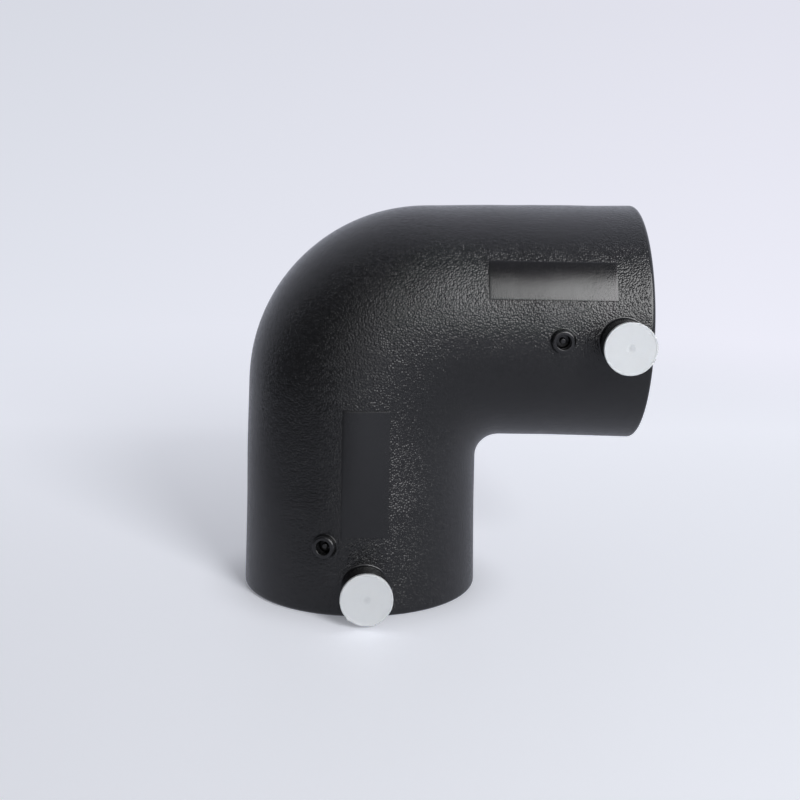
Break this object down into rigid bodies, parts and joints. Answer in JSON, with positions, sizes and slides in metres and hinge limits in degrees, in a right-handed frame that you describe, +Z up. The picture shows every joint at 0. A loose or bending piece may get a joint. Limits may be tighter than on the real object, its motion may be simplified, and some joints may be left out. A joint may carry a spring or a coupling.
{
  "type": "ninety-degree electrofusion pipe elbow",
  "caption": "Black plastic pipe elbow that turns a pipe through a right angle, with a heating coil in each socket and white caps on its side terminals.",
  "frame": {"origin": "middle of the underside of the whole part's box, on the plane of the lower mouth", "axes": "+Z up along the lower arm, away from its mouth; +X out of the upper mouth; the terminals and indicators are on the side that faces -Y"},
  "size_m": [0.1594, 0.1098, 0.1593],
  "materials": {
    "black_polyethylene": "fine pebble grain, satin on the panels",
    "white_cap": "smooth satin",
    "copper_wire": "bright drawn wire",
    "brass_pin": "turned"
  },
  "bodies": {
    "root": {"elbow_body": "black_polyethylene", "heating_wire": "copper_wire", "terminal_pin_lower": "brass_pin", "terminal_pin_upper": "brass_pin", "indicator_pin_lower": "black_polyethylene", "indicator_pin_upper": "black_polyethylene", "terminal_cap_lower": "white_cap", "terminal_cap_upper": "white_cap"}
  },
  "joints": []
}
